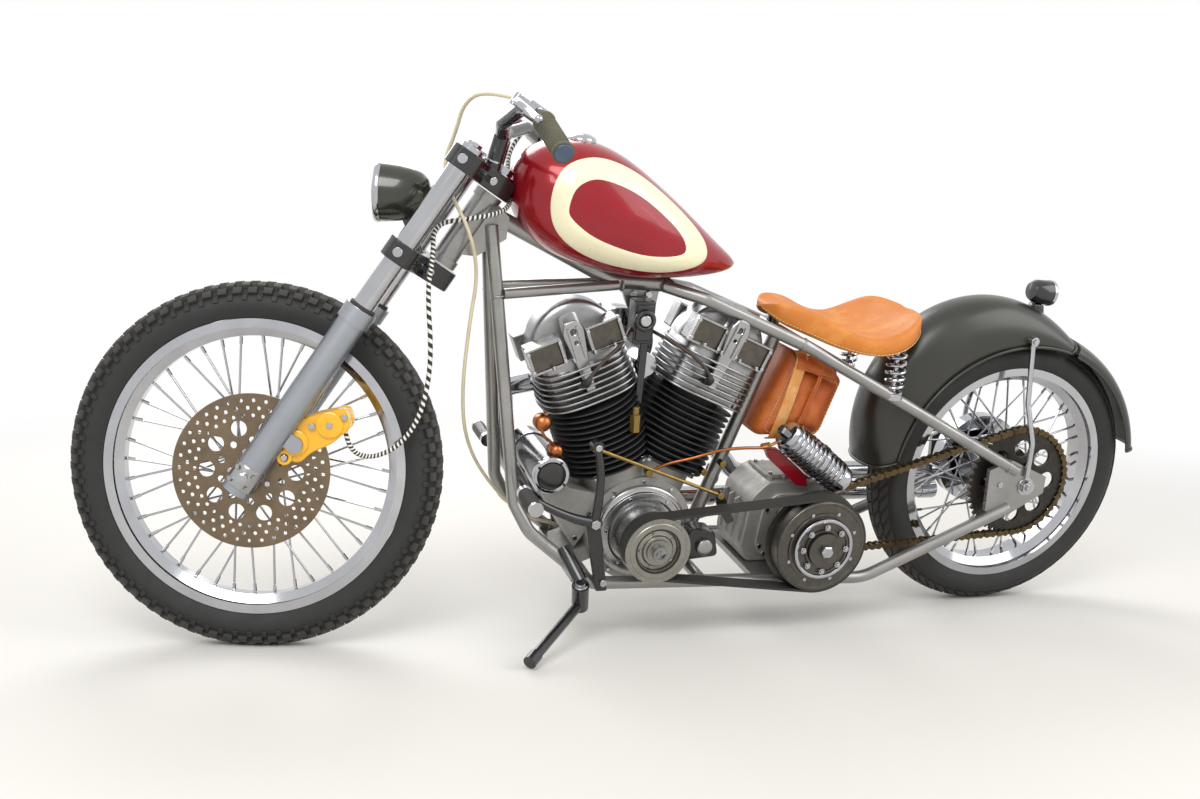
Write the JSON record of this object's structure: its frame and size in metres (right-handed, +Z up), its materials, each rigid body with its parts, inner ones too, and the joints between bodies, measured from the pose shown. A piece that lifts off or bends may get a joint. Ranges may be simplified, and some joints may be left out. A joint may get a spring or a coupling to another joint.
{
  "type": "chopper motorcycle",
  "caption": "Rigid-framed chopper motorcycle on its side stand, with an air-cooled V-twin, telescopic fork, wire wheels, teardrop tank, sprung saddle, belt primary and chain drive.",
  "frame": {"origin": "centre of the bounding box's base, on the ground the motorcycle stands on", "axes": "+X forward, towards the front wheel; +Y to the rider's left; +Z up from the ground"},
  "size_m": [2.2933, 0.7696, 1.0457],
  "materials": {
    "frame_paint": "satin metallic grey",
    "chrome": "polished",
    "alloy": "polished castings",
    "alloy_satin": "satin",
    "black_fins": "satin black",
    "black_steel": "gloss black",
    "tyre": "matt",
    "tank_red": "gloss",
    "fender_black": "satin",
    "saddle_leather": "worn",
    "bag_leather": "worn",
    "caliper_yellow": "gloss",
    "disc_steel": "ground",
    "dark_steel": "oiled",
    "belt_rubber": "matt",
    "grip_rubber": "matt",
    "hose_rubber": "matt",
    "cable_sheath": "satin",
    "lamp_shell": "gloss",
    "rear_lamp": "gloss"
  },
  "bodies": {
    "chassis": {"steering_head": "frame_paint", "backbone": "frame_paint", "downtubes": "frame_paint", "bottom_rails": "frame_paint", "rear_stays": "frame_paint", "axle_plates": "frame_paint", "seat_post": "frame_paint", "cross_members": "frame_paint", "tie_tubes": "frame_paint", "crankcase": "alloy", "front_barrel": "black_fins", "rear_barrel": "black_fins", "front_head": "alloy", "rear_head": "alloy", "generator": "black_steel", "timing_cover": "alloy", "carburettor": "chrome", "exhaust_pipes": "chrome", "front_pulley": "alloy_satin", "clutch_pulley": "dark_steel", "primary_belt": "belt_rubber", "gearbox": "alloy", "drive_chain": "dark_steel", "oil_filter": "chrome", "fuel_tank": "tank_red", "fuel_cap": "chrome", "seat": "saddle_leather", "seat_mount": "dark_steel", "leather_bag": "bag_leather", "rear_fender": "fender_black", "tail_fender": "fender_black", "fender_struts": "alloy_satin", "tail_lamp": "rear_lamp", "gear_lever": "black_steel", "brake_pedal": "black_steel", "stand_bracket": "black_steel", "rear_axle": "chrome", "clutch_cable": "cable_sheath"},
    "fork": {"fork_sliders": "alloy_satin", "fork_stanchions": "chrome", "lower_yoke": "black_steel", "upper_yoke": "black_steel", "handlebar": "black_steel", "grips": "grip_rubber", "levers": "black_steel", "brake_caliper": "caliper_yellow", "headlamp": "lamp_shell", "brake_hose": "hose_rubber", "front_axle": "chrome"},
    "front_wheel": {"front_tyre": "tyre", "front_rim": "chrome", "front_spokes": "chrome", "front_hub": "chrome", "brake_disc": "disc_steel"},
    "rear_wheel": {"rear_tyre": "tyre", "rear_rim": "chrome", "rear_spokes": "chrome", "rear_hub": "chrome", "rear_sprocket": "dark_steel"},
    "side_stand": {"side_stand": "black_steel"}
  },
  "joints": [
    {"name": "steering", "type": "hinge", "parent": "chassis", "child": "fork", "pos_m": [0.44455, -0.04745, 0.808], "axis": [-0.5299, 0.1545, 0.8338], "range_deg": [-13, 51], "deforming": ["clutch_cable", "brake_hose"]},
    {"name": "front_wheel_spin", "type": "hinge", "parent": "fork", "child": "front_wheel", "pos_m": [0.81065, -0.15389, 0.348], "axis": [0.2761, 0.9611, -0.0027], "continuous": true},
    {"name": "rear_wheel_spin", "type": "hinge", "parent": "chassis", "child": "rear_wheel", "pos_m": [-0.81576, -0.13944, 0.31163], "axis": [0, 0.9833, -0.1822], "continuous": true},
    {"name": "side_stand_fold", "type": "hinge", "parent": "chassis", "child": "side_stand", "pos_m": [0.20624, -0.01248, 0.08577], "axis": [0.17, 0.5266, 0.8329], "range_deg": [0, 115]}
  ]
}
